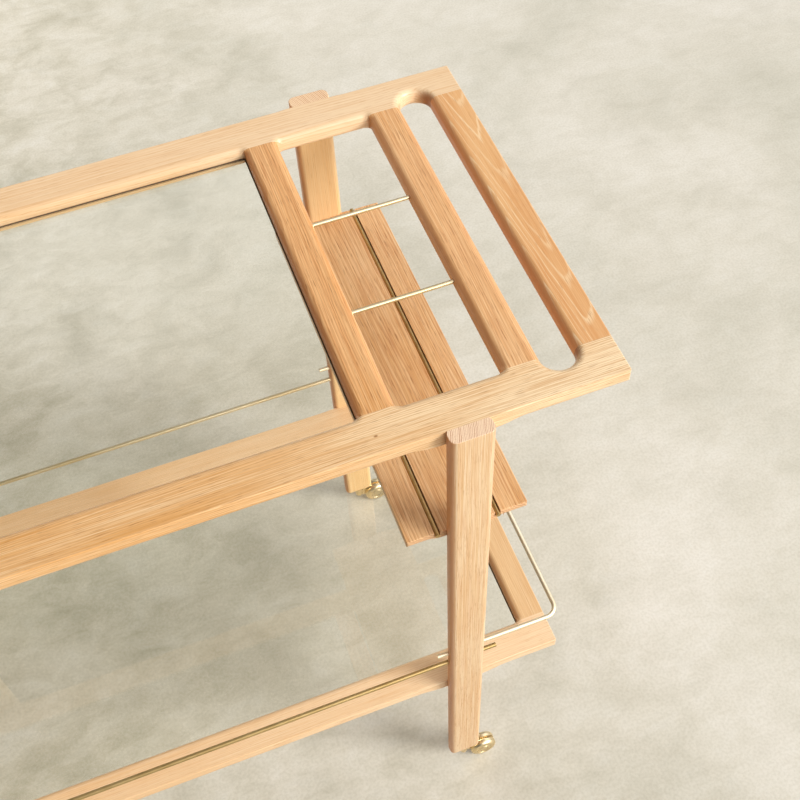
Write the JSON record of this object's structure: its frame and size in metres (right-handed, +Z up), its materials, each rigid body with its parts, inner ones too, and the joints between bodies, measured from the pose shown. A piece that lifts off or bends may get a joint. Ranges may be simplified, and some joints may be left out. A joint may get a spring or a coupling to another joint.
{
  "type": "bar cart",
  "caption": "Oak bar cart with a glazed top frame, a handle slot, a bottle bay above a small shelf, a glazed lower frame with a brass rod gallery, and brass twin-wheel casters.",
  "frame": {"origin": "on the floor under the middle of the cart's bounding box", "axes": "+Z up, +X along the cart towards the handle and the bottle bay, +Y across the cart to the rear"},
  "size_m": [0.9, 0.4302, 0.774],
  "materials": {
    "oak_rail": "satin oiled oak, pale",
    "oak_crossbar": "satin oiled oak, warmer",
    "oak_leg": "satin oiled oak",
    "beech_dowel": "raw beech",
    "clear_glass": "clear float glass, polished edges",
    "brass": "polished pale brass"
  },
  "bodies": {
    "cart": {"top_front_rail": "oak_rail", "top_rear_rail": "oak_rail", "lower_front_rail": "oak_rail", "lower_rear_rail": "oak_rail", "handle_rail": "oak_crossbar", "outer_crossbar": "oak_crossbar", "inner_crossbar": "oak_crossbar", "top_left_end_rail": "oak_crossbar", "lower_right_end_rail": "oak_crossbar", "lower_left_end_rail": "oak_crossbar", "bottle_shelf": "oak_crossbar", "leg_front_right": "oak_leg", "leg_rear_right": "oak_leg", "leg_front_left": "oak_leg", "leg_rear_left": "oak_leg", "top_frame_dowels": "beech_dowel", "lower_frame_dowels": "beech_dowel", "leg_dowels": "beech_dowel", "top_glass": "clear_glass", "lower_glass": "clear_glass", "front_divider_rod": "brass", "rear_divider_rod": "brass", "shelf_rods": "brass", "gallery_front_rod": "brass", "gallery_rear_rod": "brass", "gallery_right_end_rod": "brass", "gallery_left_end_rod": "brass", "caster_front_right_socket": "brass", "caster_rear_right_socket": "brass", "caster_front_left_socket": "brass", "caster_rear_left_socket": "brass"},
    "caster_front_right": {"caster_front_right_body": "brass", "caster_front_right_axle": "brass"},
    "front_right_outer_wheel": {"caster_front_right_outer_wheel": "brass"},
    "front_right_inner_wheel": {"caster_front_right_inner_wheel": "brass"},
    "caster_rear_right": {"caster_rear_right_body": "brass", "caster_rear_right_axle": "brass"},
    "rear_right_outer_wheel": {"caster_rear_right_outer_wheel": "brass"},
    "rear_right_inner_wheel": {"caster_rear_right_inner_wheel": "brass"},
    "caster_front_left": {"caster_front_left_body": "brass", "caster_front_left_axle": "brass"},
    "front_left_outer_wheel": {"caster_front_left_outer_wheel": "brass"},
    "front_left_inner_wheel": {"caster_front_left_inner_wheel": "brass"},
    "caster_rear_left": {"caster_rear_left_body": "brass", "caster_rear_left_axle": "brass"},
    "rear_left_outer_wheel": {"caster_rear_left_outer_wheel": "brass"},
    "rear_left_inner_wheel": {"caster_rear_left_inner_wheel": "brass"}
  },
  "joints": [
    {"name": "front_right_swivel", "type": "hinge", "parent": "cart", "child": "caster_front_right", "pos_m": [0.309, -0.206, 0.036], "axis": [0, 0, 1], "continuous": true},
    {"name": "front_right_outer_wheel_spin", "type": "hinge", "parent": "caster_front_right", "child": "front_right_outer_wheel", "pos_m": [0.335, -0.206, 0.017], "axis": [0, 1, 0], "continuous": true},
    {"name": "front_right_inner_wheel_spin", "type": "hinge", "parent": "caster_front_right", "child": "front_right_inner_wheel", "pos_m": [0.335, -0.206, 0.017], "axis": [0, 1, 0], "continuous": true},
    {"name": "rear_right_swivel", "type": "hinge", "parent": "cart", "child": "caster_rear_right", "pos_m": [0.309, 0.206, 0.036], "axis": [0, 0, 1], "continuous": true},
    {"name": "rear_right_outer_wheel_spin", "type": "hinge", "parent": "caster_rear_right", "child": "rear_right_outer_wheel", "pos_m": [0.335, 0.206, 0.017], "axis": [0, 1, 0], "continuous": true},
    {"name": "rear_right_inner_wheel_spin", "type": "hinge", "parent": "caster_rear_right", "child": "rear_right_inner_wheel", "pos_m": [0.335, 0.206, 0.017], "axis": [0, 1, 0], "continuous": true},
    {"name": "front_left_swivel", "type": "hinge", "parent": "cart", "child": "caster_front_left", "pos_m": [-0.309, -0.206, 0.036], "axis": [0, 0, 1], "continuous": true},
    {"name": "front_left_outer_wheel_spin", "type": "hinge", "parent": "caster_front_left", "child": "front_left_outer_wheel", "pos_m": [-0.283, -0.206, 0.017], "axis": [0, 1, 0], "continuous": true},
    {"name": "front_left_inner_wheel_spin", "type": "hinge", "parent": "caster_front_left", "child": "front_left_inner_wheel", "pos_m": [-0.283, -0.206, 0.017], "axis": [0, 1, 0], "continuous": true},
    {"name": "rear_left_swivel", "type": "hinge", "parent": "cart", "child": "caster_rear_left", "pos_m": [-0.309, 0.206, 0.036], "axis": [0, 0, 1], "continuous": true},
    {"name": "rear_left_outer_wheel_spin", "type": "hinge", "parent": "caster_rear_left", "child": "rear_left_outer_wheel", "pos_m": [-0.283, 0.206, 0.017], "axis": [0, 1, 0], "continuous": true},
    {"name": "rear_left_inner_wheel_spin", "type": "hinge", "parent": "caster_rear_left", "child": "rear_left_inner_wheel", "pos_m": [-0.283, 0.206, 0.017], "axis": [0, 1, 0], "continuous": true}
  ]
}
